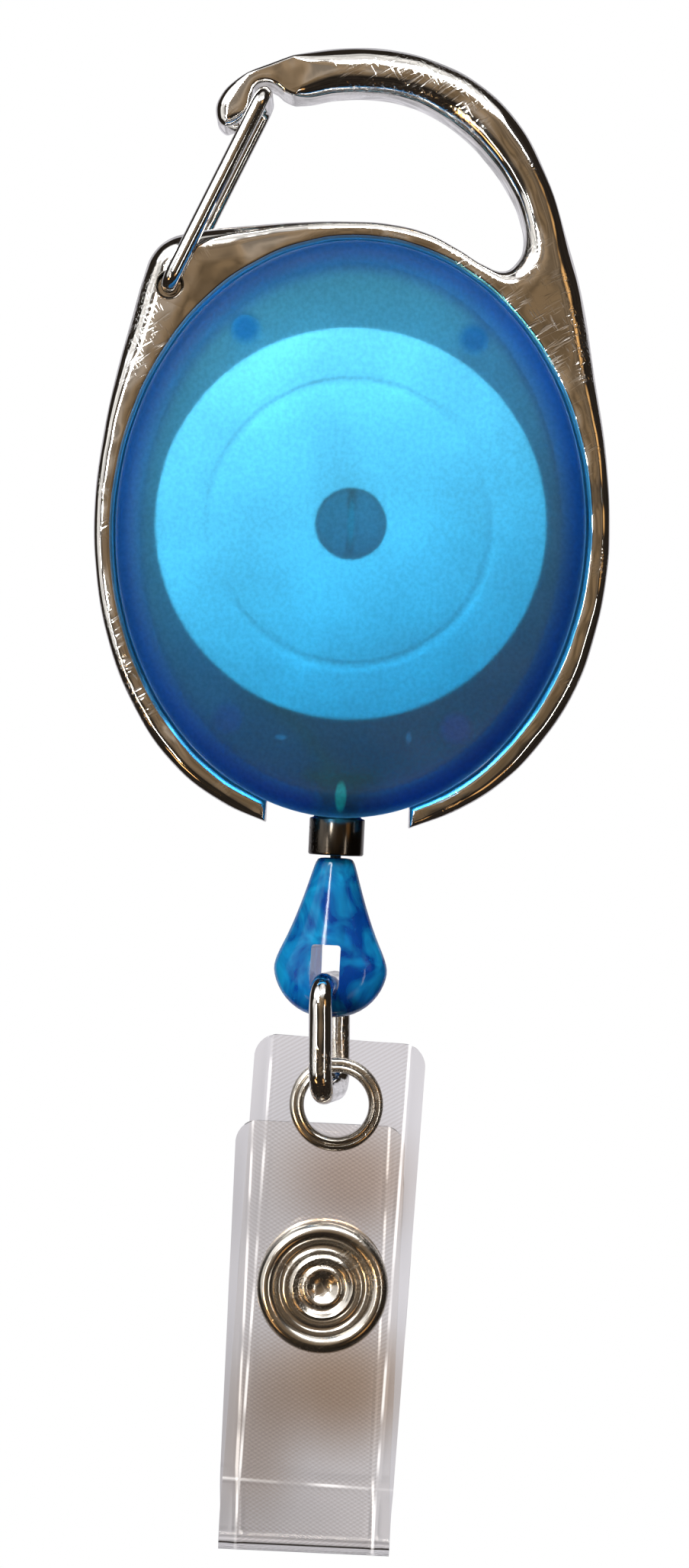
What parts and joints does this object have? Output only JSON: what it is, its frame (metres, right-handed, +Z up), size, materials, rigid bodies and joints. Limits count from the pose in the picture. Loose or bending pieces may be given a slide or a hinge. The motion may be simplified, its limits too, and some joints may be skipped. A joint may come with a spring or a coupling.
{
  "type": "retractable badge reel",
  "caption": "Retractable badge reel: carabiner frame with wire gate, oval translucent case, spring spool and cord, teardrop bead, wire link and clear strap with a snap.",
  "frame": {"origin": "hang point: the inside top of the carabiner hook, at the middle of its depth", "axes": "+X to the right seen from the label side, +Y away from the label face towards the back, +Z up along the hanging direction"},
  "size_m": [0.0382, 0.0094, 0.1116],
  "materials": {
    "chrome_frame": "polished plated die casting",
    "case_front": "frosted translucent blue",
    "case_rear": "frosted translucent blue",
    "ferrule_metal": "dark plated",
    "spool_plastic": "moulded white",
    "spring_steel": "rolled strip",
    "cord_wound": "braided nylon",
    "cord_inner": "braided nylon",
    "cord_end": "braided nylon",
    "cord_knotted": "braided nylon",
    "gate_metal": "plated spring wire",
    "bead_plastic": "translucent blue",
    "link_metal": "plated wire",
    "strap_vinyl": "clear reinforced vinyl",
    "fold_vinyl": "clear reinforced vinyl",
    "flap_vinyl": "clear reinforced vinyl",
    "eyelet_metal": "nickel plated",
    "washer_metal": "nickel plated",
    "snap_cap_metal": "nickel plated",
    "snap_socket_metal": "nickel plated",
    "snap_stud_metal": "nickel plated",
    "snap_ring_metal": "nickel plated"
  },
  "bodies": {
    "case": {"carabiner_frame": "chrome_frame", "front_cover": "case_front", "rear_cover": "case_rear", "exit_ferrule": "ferrule_metal", "power_spring": "spring_steel", "cord_run": "cord_inner", "cord_tail": "cord_end"},
    "gate": {"gate_wire": "gate_metal"},
    "spool": {"spool": "spool_plastic", "cord_winding": "cord_wound"},
    "cord_end": {"cord_knot": "cord_knotted"},
    "bead": {"bead": "bead_plastic"},
    "link": {"link_ring": "link_metal"},
    "strap": {"strap_front": "strap_vinyl", "strap_fold": "fold_vinyl", "eyelet": "eyelet_metal", "eyelet_washer": "washer_metal", "snap_cap": "snap_cap_metal", "snap_socket": "snap_socket_metal"},
    "flap": {"strap_flap": "flap_vinyl", "snap_stud": "snap_stud_metal", "snap_back_ring": "snap_ring_metal"}
  },
  "joints": [
    {"name": "gate_open", "type": "hinge", "parent": "case", "child": "gate", "pos_m": [-0.0142, 0, -0.01485], "axis": [0, 1, 0], "range_deg": [0, 35], "stiffness_Nm_per_rad": 0.02, "springref_deg": -20.05},
    {"name": "cord_pull", "type": "slide", "parent": "case", "child": "cord_end", "axis": [0, 0, -1], "range_m": [0, 0.8], "stiffness_N_per_m": 1, "springref_m": -0.6, "deforming": ["cord_tail"]},
    {"name": "spool_spin", "type": "hinge", "parent": "case", "child": "spool", "pos_m": [0, 0, -0.03185], "axis": [0, -1, 0], "range_deg": [0, 3680], "deforming": ["power_spring"]},
    {"name": "bead_swivel", "type": "hinge", "parent": "cord_end", "child": "bead", "pos_m": [0, 0, -0.05955], "axis": [0, 0, 1], "continuous": true},
    {"name": "link_swing", "type": "hinge", "parent": "bead", "child": "link", "pos_m": [0, 0, -0.06575], "axis": [0.1736, 0.9848, 0], "range_deg": [-45, 45]},
    {"name": "strap_swing", "type": "hinge", "parent": "link", "child": "strap", "pos_m": [0.00035, 0, -0.07375], "axis": [1, 0, 0], "range_deg": [-25, 25]},
    {"name": "flap_open", "type": "hinge", "parent": "strap", "child": "flap", "pos_m": [0, 0.00134, -0.10661], "axis": [-1, 0, 0], "range_deg": [0, 150], "deforming": ["strap_fold"]}
  ],
  "couplings": [
    {"joint": "spool_spin", "follows": "cord_pull", "rad_per_m": 80}
  ]
}
